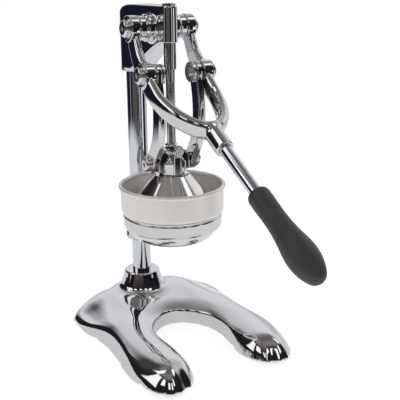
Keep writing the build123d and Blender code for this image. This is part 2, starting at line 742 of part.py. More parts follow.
crank_seat = arm_outer + washer_thickness
upper_link_washers = pin_pair(crank_y, crank_height, (arm_outer, crank_seat, 11.8, upper_pin_radius + 0.3))
save(upper_link_washers, "upper_link_washers")

cap_screw_radius = 2.0
upper_link_bolts = button_bolts(crank_y, crank_height, crank_seat, bolt_head_radius, upper_pin_radius,
                                link_inner - 0.2, cap_screw_radius + fixed_gap)
save(upper_link_bolts, "upper_link_bolts")

link_caps = pin_pair(crank_y, crank_height, (cap_inner, link_inner - 0.3, 10.8, 2.3))
save(link_caps, "link_caps")

cap_screws = pin_pair(crank_y, crank_height, (cap_inner - 2.2, cap_inner, 4.2, 0),
                      (cap_inner, link_inner + tapped_depth - 1, cap_screw_radius, 0))
save(cap_screws, "cap_screws")


def link_bar(side):
    """One bowed link bar on the side of the given sign."""
    near = side * link_inner
    top = (column_y + crank_back, crank_height)
    middle = (column_y + link_bow, (crank_height + lug_height) / 2)
    bottom = (press_y, lug_height)
    with BuildPart() as bar:
        with BuildSketch(across(near)):
            with BuildLine():
                bow = ThreePointArc(top, middle, bottom)
            SlotArc(bow, link_width)
            with Locations(top):
                Circle(link_upper_eye)
            with Locations(bottom):
                Circle(link_lower_eye)
        extrude(amount=side * (link_outer - link_inner))
        with BuildSketch(across(near)):
            with Locations(top):
                Circle(upper_pin_radius + pin_gap)
            with Locations(bottom):
                Circle(lower_pin_radius + fixed_gap)
        extrude(amount=side * (link_outer - link_inner), mode=Mode.SUBTRACT)
    return bar


def lower_bolt(side):
    """Domed bolt through a link's lower eye; it ends flush with the link's inner face."""
    seat = side * (link_outer + washer_thickness)
    with BuildPart() as bolt:
        with BuildSketch(across(seat, press_y, lug_height)):
            Circle(lower_head_radius)
        extrude(amount=side * bolt_head_height)
        end_face = bolt.faces().sort_by(Axis.X)[-1 if side > 0 else 0]
        fillet(end_face.edges(), radius=bolt_dome)
        with BuildSketch(across(seat + side * bolt_head_height, press_y, lug_height)):
            RegularPolygon(radius=2.9, side_count=6)
        extrude(amount=-side * socket_depth, mode=Mode.SUBTRACT)
        with BuildSketch(across(side * link_inner, press_y, lug_height)):
            Circle(lower_pin_radius)
        extrude(amount=side * (link_outer + washer_thickness - link_inner))
    return bolt


def lower_washer(side):
    """Washer under one lower bolt's head."""
    with BuildPart() as ring:
        with BuildSketch(across(side * link_outer, press_y, lug_height)):
            Circle(lower_head_radius + 1.6)
            Circle(lower_pin_radius + 0.3, mode=Mode.SUBTRACT)
        extrude(amount=side * washer_thickness)
    return ring


for side, hand in ((-1, "left"), (1, "right")):
    save(link_bar(side), f"link_{hand}")
    save(lower_bolt(side), f"lower_bolt_{hand}")
    save(lower_washer(side), f"lower_washer_{hand}")
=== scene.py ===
import math

import bpy
import numpy as np
from mathutils import Matrix, Vector


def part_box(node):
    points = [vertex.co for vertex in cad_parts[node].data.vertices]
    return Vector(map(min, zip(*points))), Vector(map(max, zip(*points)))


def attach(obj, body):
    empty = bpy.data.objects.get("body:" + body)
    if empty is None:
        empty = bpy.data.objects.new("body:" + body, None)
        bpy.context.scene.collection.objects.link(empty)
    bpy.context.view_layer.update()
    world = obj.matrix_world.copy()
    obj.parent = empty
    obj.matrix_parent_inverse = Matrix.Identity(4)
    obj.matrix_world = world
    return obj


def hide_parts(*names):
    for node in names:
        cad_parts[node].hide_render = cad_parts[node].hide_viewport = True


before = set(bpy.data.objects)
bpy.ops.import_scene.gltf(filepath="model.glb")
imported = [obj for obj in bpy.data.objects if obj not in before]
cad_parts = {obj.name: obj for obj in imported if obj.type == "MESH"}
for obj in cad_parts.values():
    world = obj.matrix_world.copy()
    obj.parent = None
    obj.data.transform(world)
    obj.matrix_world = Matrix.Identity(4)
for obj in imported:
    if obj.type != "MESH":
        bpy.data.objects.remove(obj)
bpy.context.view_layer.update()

# ---- places read from the frame, in millimetres ------------------------------------------------
MM = 0.001


def centre(node):
    low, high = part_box(node)
    return (low + high) / 2 / MM


COLUMN_Y = centre("column").y
PRESS_Y = centre("ram_rod").y
PRESS_BACK = PRESS_Y - COLUMN_Y
PIVOT = centre("pivot_shaft") - Vector((0, COLUMN_Y, 0))
CRANK = centre("upper_link_washers") - Vector((0, COLUMN_Y, 0))
LUG = centre("pivot_studs") - Vector((0, COLUMN_Y, 0))
HEAD_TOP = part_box("head")[1].z / MM
SLEEVE_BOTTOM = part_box("head")[0].z / MM
BARREL_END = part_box("head")[1].x / MM
BASE_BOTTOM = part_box("base")[0].z / MM
BOSS_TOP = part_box("base")[1].z / MM


def rod_axis(node):
    """Start point and direction of a rod that runs forwards and down, column frame."""
    points = np.array([v.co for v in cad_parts[node].data.vertices]) / MM
    points = np.unique(np.round(points, 3), axis=0)
    points[:, 1] -= COLUMN_Y
    middle = points.mean(0)
    direction = np.linalg.svd(points - middle, full_matrices=False)[2][0]
    if direction[1] > 0:
        direction = -direction
    return middle + direction * ((points - middle) @ direction).min(), direction


ROD_START, HANDLE_DIRECTION = rod_axis("handle_rod")
ROD_IN_SOCKET = 6.2
HANDLE_ROOT = ROD_START - HANDLE_DIRECTION * ROD_IN_SOCKET


# ---- distance fields: x, distance back from the column axis, height, all in millimetres ---------
def hypot(a, b):
    return np.sqrt(a * a + b * b)


def meet(a, b, edge):
    """Both at once, with the edge between them rounded."""
    a = a + edge
    b = b + edge
    return np.minimum(np.maximum(a, b), 0) + hypot(np.maximum(a, 0), np.maximum(b, 0)) - edge


def join(a, b, fillet):
    """Either one, with a fillet between them."""
    share = np.clip(0.5 + 0.5 * (b - a) / fillet, 0, 1)
    return b * (1 - share) + a * share - fillet * share * (1 - share)


def cut(a, b, edge):
    return -join(-a, b, edge)


def prism(outline, offset, half, edge):
    """A flat outline's distance thickened to half on both sides, edges rounded."""
    return meet(outline, np.abs(offset) - half, edge)


def polygon(u, v, corners):
    """Signed distance to a closed polygon, negative inside."""
    best = np.full(u.shape, 1e9)
    inside = np.zeros(u.shape, bool)
    for (u0, v0), (u1, v1) in zip(corners, [*corners[1:], corners[0]]):
        du, dv = u1 - u0, v1 - v0
        t = np.clip(((u - u0) * du + (v - v0) * dv) / (du * du + dv * dv), 0, 1)
        best = np.minimum(best, hypot(u - u0 - t * du, v - v0 - t * dv))
        if dv:
            crosses = (v0 > v) != (v1 > v)
            inside ^= crosses & (u < u0 + (v - v0) * du / dv)
    return np.where(inside, -best, best)


def open_line(u, v, points):
    """Distance to an open line of points."""
    best = np.full(u.shape, 1e9)
    for (u0, v0), (u1, v1) in zip(points, points[1:]):
        du, dv = u1 - u0, v1 - v0
        t = np.clip(((u - u0) * du + (v - v0) * dv) / (du * du + dv * dv), 0, 1)
        best = np.minimum(best, hypot(u - u0 - t * du, v - v0 - t * dv))
    return best


def smooth_line(points, steps, closed=False):
    """Points of a Catmull-Rom curve through the given ones, of any number of values each."""
    points = np.array(points, float)
    n = len(points)
    out = []
    for i in range(n if closed else n - 1):
        if closed:
            a, b, c, d = (points[(i + k) % n] for k in (-1, 0, 1, 2))
        else:
            a, b, c, d = (points[min(max(i + k, 0), n - 1)] for k in (-1, 0, 1, 2))
        for t in np.arange(steps) / steps:
            out.append(0.5 * (2 * b + (c - a) * t + (2 * a - 5 * b + 4 * c - d) * t * t
                              + (3 * b - a - 3 * c + d) * t ** 3))
    if not closed:
        out.append(points[-1])
    return np.array(out)


def step_between(low, high, value):
    """0 at low, 1 at high, smooth between; low may be the larger one."""
    t = np.clip((value - low) / (high - low), 0, 1)
    return t * t * (3 - 2 * t)


# ---- meshes from fields ------------------------------------------------------------------------
COARSER = 1.0
BLOCK = 6                   # cells along a block that is judged by its middle alone
BLOCK_REACH = 0.87          # half the diagonal of a block of size 1
NEAR_SPARE = 1.6            # how far past that the field is still worked out cell by cell
SETTLING_ROUNDS = 3         # moves of each point onto the surface
NUDGE = 0.04
LEAST_SIZE = 0.2
LONGEST_MOVE = 0.4          # of a cell, in one round


def surface_of(field, low, high, step):
    """Quads on the zero surface of a field, as points and faces (surface nets)."""
    step = step * COARSER
    axes = [np.arange(a - 2 * step, b + 2.01 * step, step) for a, b in zip(low, high)]
    shape = tuple(len(a) for a in axes)
    middles = [a[::BLOCK] + step * BLOCK / 2 for a in axes]
    at = np.stack(np.meshgrid(*middles, indexing="ij"), -1).reshape(-1, 3)
    value = field(at).reshape([len(c) for c in middles])
    for axis in range(3):
        value = value.repeat(BLOCK, axis)
    value = value[:shape[0], :shape[1], :shape[2]].copy()
    reach = step * BLOCK * BLOCK_REACH + 3 * step
    close = np.abs(value) < reach * NEAR_SPARE
    index = np.argwhere(close)
    points = np.stack([axes[k][index[:, k]] for k in range(3)], -1)
    value[close] = field(points)
    inside = value < 0
    cells = np.zeros(tuple(s - 1 for s in shape), int)
    corner = [(i, j, k) for i in (0, 1) for j in (0, 1) for k in (0, 1)]
    for i, j, k in corner:
        cells += inside[i:shape[0] - 1 + i, j:shape[1] - 1 + j, k:shape[2] - 1 + k]
    active = np.argwhere((cells > 0) & (cells < 8))
    number = np.full(cells.shape, -1)
    number[tuple(active.T)] = np.arange(len(active))
    total = np.zeros((len(active), 3))
    count = np.zeros(len(active))
    for a in corner:
        for axis in range(3):
            if a[axis]:
                continue
            b = list(a)
            b[axis] = 1
            va = value[tuple((active + a).T)]
            vb = value[tuple((active + b).T)]
            crossing = (va < 0) != (vb < 0)
            t = np.where(crossing, va / np.where(crossing, va - vb, 1), 0)
            place = np.array(a, float)[None] + t[:, None] * np.eye(3)[axis]
            total += place * crossing[:, None]
            count += crossing
    verts = (active + total / count[:, None]) * step + np.array([a[0] for a in axes])
    faces = []
    for axis in range(3):
        p, q = [k for k in range(3) if k != axis]
        index = np.argwhere(inside != np.roll(inside, -1, axis))
        ok = (index[:, axis] < shape[axis] - 1) & (index[:, p] > 0) & (index[:, q] > 0)
        ok &= (index[:, p] < shape[p] - 1) & (index[:, q] < shape[q] - 1)
        index = index[ok]
        ring = []
        for dp, dq in ((0, 0), (-1, 0), (-1, -1), (0, -1)):
            cell = index.copy()
            cell[:, p] += dp
            cell[:, q] += dq
            ring.append(number[tuple(cell.T)])
        ring = np.stack(ring, -1)
        outward = inside[tuple(index.T)]
        if axis == 1:
            outward = ~outward
        ring[~outward] = ring[~outward][:, ::-1]
        faces.append(ring)
    faces = np.concatenate(faces)
    faces = faces[(faces >= 0).all(1)]
    for _ in range(SETTLING_ROUNDS):
        gradient = np.zeros_like(verts)
        for axis in range(3):
            nudge = np.zeros(3)
            nudge[axis] = NUDGE
            gradient[:, axis] = (field(verts + nudge) - field(verts - nudge)) / (2 * NUDGE)
        size = (gradient ** 2).sum(1)
        move = field(verts) / np.maximum(size, LEAST_SIZE)
        verts = verts - np.clip(move, -LONGEST_MOVE * step, LONGEST_MOVE * step)[:, None] * gradient
    return verts, faces


def piece(name, verts, faces, body, stands_for, slot):
    """A smooth mesh object from millimetres in the column frame."""
    verts = np.asarray(verts, float) * MM
    verts[:, 1] += COLUMN_Y * MM
    mesh = bpy.data.meshes.new(name)
    mesh.from_pydata(verts.tolist(), [], np.asarray(faces).tolist())
    mesh.validate()
    mesh.polygons.foreach_set("use_smooth", [True] * len(mesh.polygons))
    obj = bpy.data.objects.new(name, mesh)
    bpy.context.scene.collection.objects.link(obj)
    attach(obj, body)
    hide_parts(stands_for)
    mesh.materials.append(finish[slot])
    return obj


LATHE_STEPS = 256


def lathe(name, corners, edge, axis_back, body, stands_for, slot):
    """A ring turned about an upright axis from closed (radius, height) corners with rounded edges."""
    profile = []
    n = len(corners)
    for i in range(n):
        before, at, after = (np.array(corners[(i + k) % n], float) for k in (-1, 0, 1))
        ends = []
        for other in (before, after):
            run = other - at
            reach = np.linalg.norm(run)
            ends.append(at + run / reach * min(edge, 0.45 * reach))
        for t in (0, 0.25, 0.5, 0.75, 1):
            profile.append(ends[0] * (1 - t) ** 2 + at * 2 * t * (1 - t) + ends[1] * t * t)
    m = len(profile)
    verts = []
    faces = []
    for s in range(LATHE_STEPS):
        angle = 2 * math.pi * s / LATHE_STEPS
        for radius, height in profile:
            verts.append((radius * math.cos(angle), axis_back + radius * math.sin(angle), height))
        for k in range(m):
            a, b = s * m + k, s * m + (k + 1) % m
            following = ((s + 1) % LATHE_STEPS) * m
            c, d = following + (k + 1) % m, following + k
            faces.append((a, b, c, d))
    return piece(name, verts, faces, body, stands_for, slot)


# ---- materials -----------------------------------------------------------------------------------
NOISE_LOW, NOISE_HIGH = 0.3, 0.7        # the part of a noise that is spread over the whole range
GRAIN_DETAIL = 6.0
CLOUD_SCALE, CLOUD_DETAIL = 22.0, 3.0
LEAST_ROUGH = 0.01
RELIEF_DEPTH = 0.001


def spread(tree, value, low, high):
    """A noise value spread between low and high."""
    made = tree.nodes.new("ShaderNodeMapRange")
    made.inputs["From Min"].default_value = NOISE_LOW
    made.inputs["From Max"].default_value = NOISE_HIGH
    made.inputs["To Min"].default_value = low
    made.inputs["To Max"].default_value = high
    tree.links.new(value, made.inputs["Value"])
    return made.outputs["Result"]


def surface(name, color, rough, grain, tint, bump, metallic=1.0, rough_spread=0.03):
    """A procedural finish: grain is the noise scale along each axis, so unequal values give brushing."""
    mat = bpy.data.materials.new(name)
    mat.use_nodes = True
    tree = mat.node_tree
    nodes, links = tree.nodes, tree.links
    shader = nodes["Principled BSDF"]
    shader.inputs["Metallic"].default_value = metallic
    place = nodes.new("ShaderNodeTexCoord")
    scale = nodes.new("ShaderNodeMapping")
    scale.inputs["Scale"].default_value = grain
    links.new(place.outputs["Object"], scale.inputs["Vector"])
    noise = nodes.new("ShaderNodeTexNoise")
    noise.inputs["Scale"].default_value = 1.0
    noise.inputs["Detail"].default_value = GRAIN_DETAIL
    links.new(scale.outputs["Vector"], noise.inputs["Vector"])
    cloud = nodes.new("ShaderNodeTexNoise")
    cloud.inputs["Scale"].default_value = CLOUD_SCALE
    cloud.inputs["Detail"].default_value = CLOUD_DETAIL
    links.new(place.outputs["Object"], cloud.inputs["Vector"])
    tone = spread(tree, noise.outputs["Fac"], 0.0, 1.0)
    mix = nodes.new("ShaderNodeMix")
    mix.data_type = "RGBA"
    mix.inputs[6].default_value = (*[c * (1 - tint) for c in color], 1)
    mix.inputs[7].default_value = (*[min(1, c * (1 + tint)) for c in color], 1)
    links.new(tone, mix.inputs[0])
    links.new(mix.outputs[2], shader.inputs["Base Color"])
    gloss = spread(tree, cloud.outputs["Fac"], max(LEAST_ROUGH, rough - rough_spread), rough + rough_spread)
    links.new(gloss, shader.inputs["Roughness"])
    relief = nodes.new("ShaderNodeBump")
    relief.inputs["Strength"].default_value = bump
    relief.inputs["Distance"].default_value = RELIEF_DEPTH
    links.new(noise.outputs["Fac"], relief.inputs["Height"])
    links.new(relief.outputs["Normal"], shader.inputs["Normal"])
    return mat


FINISHES = {
    "cast_chrome": dict(color=(0.68, 0.68, 0.695), rough=0.04, grain=(70, 70, 70), rough_spread=0.02,
                        tint=0.015, bump=0.012),
    "bar_chrome": dict(color=(0.68, 0.71, 0.76), rough=0.05, grain=(900, 900, 14), rough_spread=0.02,
                       tint=0.02, bump=0.01),
    "bolt_chrome": dict(color=(0.78, 0.765, 0.75), rough=0.24, grain=(500, 500, 500), rough_spread=0.05,
                        tint=0.06, bump=0.03),
    "rod_steel": dict(color=(0.60, 0.585, 0.57), rough=0.10, grain=(300, 300, 20), rough_spread=0.02,
                      tint=0.03, bump=0.004),
    "zinc_steel": dict(color=(0.62, 0.62, 0.60), rough=0.28, grain=(300, 300, 300), tint=0.08, bump=0.04),
    "black_steel": dict(color=(0.035, 0.035, 0.038), rough=0.35, metallic=0.6, grain=(400, 400, 400),
                        tint=0.15, bump=0.05),
    "satin_steel": dict(color=(0.96, 0.915, 0.87), rough=0.36, metallic=0.4, grain=(6, 6, 1500),
                        tint=0.05, bump=0.05),
    "polished_steel": dict(color=(0.80, 0.79, 0.78), rough=0.08, grain=(8, 8, 900), rough_spread=0.02,
                           tint=0.03, bump=0.01),
    "bronze": dict(color=(0.60, 0.42, 0.22), rough=0.3, grain=(500, 500, 500), tint=0.08, bump=0.04),
    "rubber": dict(color=(0.018, 0.018, 0.019), rough=0.6, metallic=0, grain=(700, 700, 700),
                   tint=0.25, bump=0.15),
    "grip": dict(color=(0.056, 0.054, 0.058), rough=0.5, metallic=0, grain=(1300, 1300, 1300),
                 rough_spread=0.06, tint=0.22, bump=0.12),
}
finish = {name: surface(name, **look) for name, look in FINISHES.items()}
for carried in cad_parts.values():
    for material_slot in carried.material_slots:
        material_slot.material = finish[material_slot.material.name.split(".")[0]]

# ---- base: two rear lobes, two front paws round a U, and a tapered boss ---------------------------
# Half of the lower outline, x and distance back from the column axis.
OUTER_EDGE = [
    (0, 40), (32, 38), (60, 30), (82, 17), (94, 2), (98.5, -15), (96.5, -38), (91.5, -62), (88.5, -87),
    (89.5, -111), (93, -139), (94.5, -162), (92, -181), (86, -200), (75, -212.5), (64, -216), (52.5, -213),
]
INNER_EDGE = [
    (52.5, -213), (42, -204), (34.5, -191), (32, -176), (35, -157), (38.5, -134), (37, -111), (30, -93),
    (17, -79), (0, -73),
]
PAW_TIP = INNER_EDGE[0]
EDGE_STEPS = 8
# One more point of the other half at each end lets the halves meet without a crease.
half = smooth_line([(-32, 38), *OUTER_EDGE, *INNER_EDGE[1:], (-17, -79)], EDGE_STEPS)
half = half[EDGE_STEPS:-EDGE_STEPS]
split = EDGE_STEPS * (len(OUTER_EDGE) - 1)
outer_line, inner_line = half[:split + 1], half[split:]
# Heights along the crown by x, at the rear and on the legs; the edge's height and the width of the slope
# between edge and crown by distance back.
REAR_CROWN = [(0, 29.5), (30, 31), (44, 31.5), (54, 30), (66, 26), (78, 21), (90, 16.5), (99, 15)]
LEG_CROWN = [(0, 28), (30, 28), (38, 28.5), (50, 29.5), (60, 29.5), (72, 28.2), (84, 25.5), (99, 22)]
EDGE_HEIGHT = [(-217, 12), (-208, 12.5), (-196, 14.5), (-181, 17.5), (-162, 20), (-139, 22), (-111, 22.5),
               (-87, 21.5), (-62, 19), (-38, 16), (-12, 15), (17, 15), (41, 15)]
TOP_WIDTH = [(-217, 30), (-178, 30), (-150, 24), (-120, 18), (-80, 20), (-45, 32), (-10, 38), (41, 34)]
TOP_FULLNESS = 2.1          # power of the slope's curve from edge to crown
INNER_WIDTH = 26.0          # the top falls towards the U over this width
INNER_DROP, PAW_DROP = 6.0, 10.0
OUTER_SLOPE, INNER_SLOPE, PAW_INNER_SLOPE = 3.2, 9.0, 3.0
OUTER_ROUND, LOBE_AND_PAW_ROUND = 2.5, 4.5
TOP_SCALE = 0.9             # makes up for the slope of the top in its distance
INNER_ROUND, PAW_INNER_ROUND, TIP_LESS_ROUND = 1.4, 5.0, 1.2
BOSS_FILLET, BOTTOM_ROUND, POCKET_ROUND = 5.0, 1.2, 0.3
POCKET_RADIUS, POCKET_TOP = 13.0, 16.0
# Boss and the flare round its foot, as (radius, height).
FLARE = [(0, BOSS_TOP), (20.6, BOSS_TOP), (21.6, BOSS_TOP - 1.0), (23.3, 47), (25.0, 41.8), (26.9, 36.5),
         (29.5, 32.5), (33.5, 29.3), (38, 27), (38, 12), (0, 12)]


def curve_value(table, at):
    """Smooth value between a table's points, with no overshoot."""
    x, y = np.array(table, float).T
    width = np.diff(x)
    rise = np.diff(y) / width
    slope = np.zeros(len(x))
    same = rise[1:] * rise[:-1] > 0
    a, b = 2 * width[1:] + width[:-1], width[1:] + 2 * width[:-1]
    with np.errstate(divide="ignore", invalid="ignore"):
        slope[1:-1] = np.where(same, (a + b) / (a / rise[:-1] + b / rise[1:]), 0)
    slope[0], slope[-1] = rise[0], rise[-1]
    at = np.clip(at, x[0], x[-1])
    i = np.clip(np.searchsorted(x, at) - 1, 0, len(x) - 2)
    t = (at - x[i]) / width[i]
    return ((1 + 2 * t) * (1 - t) ** 2 * y[i] + t * (1 - t) ** 2 * width[i] * slope[i]
            + t * t * (3 - 2 * t) * y[i + 1] + t * t * (t - 1) * width[i] * slope[i + 1])


# Distances to the two edges, worked out once on a grid.
MAP_STEP = 0.5
map_x = np.arange(0, 106.01, MAP_STEP)
map_back = np.arange(-224, 48.01, MAP_STEP)
grid = [g.ravel() for g in np.meshgrid(map_x, map_back, indexing="ij")]
sign = np.where(polygon(*grid, [*half.tolist(), (-30, -73), (-30, 40)]) < 0, 1, -1)
maps = [
    (open_line(*grid, line.tolist()) * sign).reshape(len(map_x), len(map_back))
    for line in (outer_line, inner_line)
]


def edge_distances(x, back):
    """Distances inside the outer and the inner edge, read from the maps."""
    u = np.clip(x / MAP_STEP, 0, len(map_x) - 1.001)
    v = np.clip((back - map_back[0]) / MAP_STEP, 0, len(map_back) - 1.001)
    i, j = u.astype(int), v.astype(int)
    u, v = u - i, v - j
    for table in maps:
        near = table[i, j] * (1 - v) + table[i, j + 1] * v
        far = table[i + 1, j] * (1 - v) + table[i + 1, j + 1] * v
        yield near * (1 - u) + far * u


def base_field(p):
    x, back, height = np.abs(p[:, 0]), p[:, 1], p[:, 2]
    outer, inner = edge_distances(x, back)
    paw = step_between(-140, -185, back)
    rear = step_between(-80, -12, back)
    lobe = step_between(-50, 0, back) * step_between(40, 80, x)
    share = 1 - (1 - np.clip(outer / curve_value(TOP_WIDTH, back), 0, 1)) ** TOP_FULLNESS
    crown = curve_value(REAR_CROWN, x) * rear + curve_value(LEG_CROWN, x) * (1 - rear)
    edge = curve_value(EDGE_HEIGHT, back)
    drop = INNER_DROP * (1 - paw) + PAW_DROP * paw
    top = edge + (crown - edge) * share - drop * (1 - np.clip(inner / INNER_WIDTH, 0, 1)) ** 2
    outer_wall = (height - BASE_BOTTOM - OUTER_SLOPE * outer) / hypot(1, OUTER_SLOPE)
    inner_slope = INNER_SLOPE + (PAW_INNER_SLOPE - INNER_SLOPE) * paw
    inner_wall = (height - BASE_BOTTOM - inner_slope * inner) / hypot(1, inner_slope)
    outer_round = OUTER_ROUND + LOBE_AND_PAW_ROUND * np.maximum(lobe, paw)
    body = meet((height - top) * TOP_SCALE, outer_wall, outer_round)
    tip = hypot(x - PAW_TIP[0], back - PAW_TIP[1])
    inner_round = INNER_ROUND + PAW_INNER_ROUND * paw * step_between(3, 20, tip)
    body = meet(body, inner_wall, inner_round - TIP_LESS_ROUND * step_between(8, 3, tip))
    body = join(body, polygon(hypot(x, back), height, FLARE), BOSS_FILLET)
    body = meet(body, BASE_BOTTOM - height, BOTTOM_ROUND)
    pocket = meet(hypot(x, back) - POCKET_RADIUS, height - POCKET_TOP, POCKET_ROUND)
    return cut(body, pocket, POCKET_ROUND)


verts, faces = surface_of(base_field, (-100, -218, 5), (100, 42, BOSS_TOP + 1), 1.05)
piece("base_casting", verts, faces, "frame", "base", "cast_chrome")

# ---- head: sleeve, web with an arch under it, guide tube and cross barrel --------------------------
ARCH = smooth_line([
    (-85.4, 340.5), (-76, 338), (-62, 331), (-48, 323), (-36, 316), (-26, 309.5), (-16.7, 305),
], 6)
CROWN = smooth_line([(18, 350), (15.5, 361), (9.5, 369.5), (0, 375.5), (-13, 379), (-28, 380)], 6)


SLEEVE_RADIUS, GUIDE_RADIUS, GUIDE_BORE = 16.75, 8.6, 6.75
GUIDE_MIDDLE, GUIDE_HALF = 360.5, 19.5
BARREL_RADIUS, COLLAR_RADIUS, COLLAR_HALF = 13.0, 14.6, 19.5
WEB_ROUND, CROWN_ROUND = 3.0, 3.5
WEB_FILLET, COLLAR_FILLET, BARREL_FILLET = 1.5, 2.0, 4.0


def head_field(p):
    x, back, height = np.abs(p[:, 0]), p[:, 1], p[:, 2]
    middle = (HEAD_TOP + SLEEVE_BOTTOM) / 2
    sleeve = prism(hypot(x, back) - SLEEVE_RADIUS, height - middle, (HEAD_TOP - SLEEVE_BOTTOM) / 2, 1.0)
    guide = prism(hypot(x, back - PRESS_BACK) - GUIDE_RADIUS, height - GUIDE_MIDDLE, GUIDE_HALF, 0.8)
    lean = (SLEEVE_RADIUS - GUIDE_RADIUS) / -PRESS_BACK
    side = x * math.sqrt(1 - lean * lean) - back * lean - SLEEVE_RADIUS
    web = polygon(back, height, [(0, HEAD_TOP), (PRESS_BACK, HEAD_TOP), *ARCH.tolist(), (0, 305)])
    body = join(meet(side, web, WEB_ROUND), sleeve, WEB_FILLET)
    body = join(body, guide, WEB_FILLET)
    under = polygon(back, height, [(20, 290), *CROWN.tolist(), (-120, HEAD_TOP), (-120, 290)])
    body = meet(body, under, CROWN_ROUND)
    from_pivot = hypot(back - PIVOT.y, height - PIVOT.z)
    barrel = prism(from_pivot - BARREL_RADIUS, x, BARREL_END, 0.8)
    collar = prism(from_pivot - COLLAR_RADIUS, x, COLLAR_HALF, 1.6)
    body = join(body, join(barrel, collar, COLLAR_FILLET), BARREL_FILLET)
    return cut(body, hypot(x, back - PRESS_BACK) - GUIDE_BORE, 0.3)


verts, faces = surface_of(head_field, (-29, -95, 302), (29, 18, 381), 0.7)
piece("head_casting", verts, faces, "frame", "head", "cast_chrome")

# ---- yoke: two arms with eyes that join in front, and the socket for the rod -----------------------
ARM_INNER = 28.4            # inner faces of the arms, beside the barrel and the links
ARM_CLEAR_BACK = -118       # they are flat behind this line
ARM_BULGE, ARM_CORNER = 1.6, 4.6
EYE_RADIUS, EYE_MIDDLE, EYE_HALF = 13.5, 33.6, 5.2
CRANK_RADIUS, CRANK_MIDDLE, CRANK_HALF = 12.0, 34.4, 6.0
SOCKET_RADIUS, SOCKET_MIDDLE, SOCKET_HALF = 9.5, 12.25, 16.25
ROD_BORE, ROD_BORE_START, BOLT_BORE = 6.35, 6.0, 5.1
ARM_FILLET = 3.0
# x, back, height, slope below the horizontal, turn towards the middle, thickness, height of the section
ARM = [
    (33.6, -66.0, 349.0, 65, 0, 9.8, 19.5), (33.9, -76.7, 327.5, 58, 0, 10.6, 21.0),
    (34.4, -90.5, 311.5, 46, 0, 11.4, 23.5), (34.3, -106.5, 297.0, 38, 1, 11.4, 22.5),
    (33.9, -122.0, 286.2, 32, 5, 11.2, 21.0), (30.5, -137.5, 277.6, 28, 14, 11.8, 20.2),
    (24.8, -151.5, 270.6, 27, 27, 12.0, 19.8), (17.2, -162.3, 265.4, 27, 45, 12.0, 19.8),
    (8.6, -168.6, 262.2, 28, 68, 12.0, 20.2), (0.0, -170.6, 261.2, 29, 90, 12.0, 20.6),
    (-8.6, -168.6, 262.2, 28, 112, 12.0, 20.2),
]
ARM_PATH = smooth_line(ARM, 5)


def arm_distance(p):
    """Rounded bar along the arm's path."""
    nearest = np.full(len(p), 1e9)
    result = np.full(len(p), 1e9)
    for i, (here, there) in enumerate(zip(ARM_PATH, ARM_PATH[1:])):
        run = there[:3] - here[:3]
        t = np.clip((p - here[:3]) @ run / (run @ run), 0, 1)
        values = here + t[:, None] * (there - here)
        offset = p - values[:, :3]
        gap = (offset ** 2).sum(1)
        slope, turn = np.radians(values[:, 3]), np.radians(values[:, 4])
        forward = np.stack([0 * slope, -np.cos(slope), -np.sin(slope)], -1)
        outward = forward * np.sin(turn)[:, None]
        outward[:, 0] += np.cos(turn)
        along = forward * np.cos(turn)[:, None]
        along[:, 0] -= np.sin(turn)
        upward = np.cross(along, outward)
        u = np.abs((offset * outward).sum(1))
        v = np.abs((offset * upward).sum(1))
        bulge = ARM_BULGE * (1 - np.clip(v / (values[:, 6] / 2), 0, 1) ** 2)
        section = meet(u - (values[:, 5] / 2 - ARM_BULGE + bulge), v - values[:, 6] / 2, ARM_CORNER)
        if i == 0:
            section = np.maximum(section, (here[:3] - p) @ run / np.linalg.norm(run))
        closer = gap < nearest
        nearest = np.where(closer, gap, nearest)
        result = np.where(closer, section, result)
    return result


def yoke_field(p):
    p = p.copy()
    p[:, 0] = np.abs(p[:, 0])
    x, back, height = p.T
    arm = arm_distance(p)
    from_pivot = hypot(back - PIVOT.y, height - PIVOT.z)
    from_crank = hypot(back - CRANK.y, height - CRANK.z)
    eye = prism(from_pivot - EYE_RADIUS, x - EYE_MIDDLE, EYE_HALF, 1.0)
    crank = prism(from_crank - CRANK_RADIUS, x - CRANK_MIDDLE, CRANK_HALF, 1.2)
    root = p - HANDLE_ROOT
    along = root @ HANDLE_DIRECTION
    from_rod = np.sqrt(np.maximum((root ** 2).sum(1) - along * along, 0))
    socket = meet(from_rod - SOCKET_RADIUS, np.abs(along - SOCKET_MIDDLE) - SOCKET_HALF, 1.0)
    body = join(join(arm, eye, ARM_FILLET), join(crank, socket, 1.0), ARM_FILLET)
    body = cut(body, meet(from_rod - ROD_BORE, ROD_BORE_START - along, 0.2), 0.4)
    body = cut(body, from_pivot - BOLT_BORE, 0.3)
    return cut(body, from_crank - BOLT_BORE, 0.3)


def yoke_clear(p):
    """The yoke, with its inner faces kept clear of the barrel and the links."""
    body = yoke_field(p)
    return np.where(p[:, 1] > ARM_CLEAR_BACK, meet(body, ARM_INNER - np.abs(p[:, 0]), 0.8), body)


verts, faces = surface_of(yoke_clear, (-41, -204, 236), (41, -48, 370), 0.75)
piece("yoke_casting", verts, faces, "lever", "yoke", "cast_chrome")

# ---- links: two bowed flat bars with an eye at each end --------------------------------------------
LINK_INNER, LINK_OUTER, LINK_WIDTH = 20.1, 28.1, 17.0
UPPER_EYE, LOWER_EYE, STUD_BORE = 11.0, 10.6, 4.1
BOW_BACK = -104.6
link_path = smooth_line([
    (CRANK.y, CRANK.z), (-103.4, 285), (BOW_BACK, (CRANK.z + LUG.z) / 2), (-99.6, 235), (LUG.y, LUG.z),
], 8)


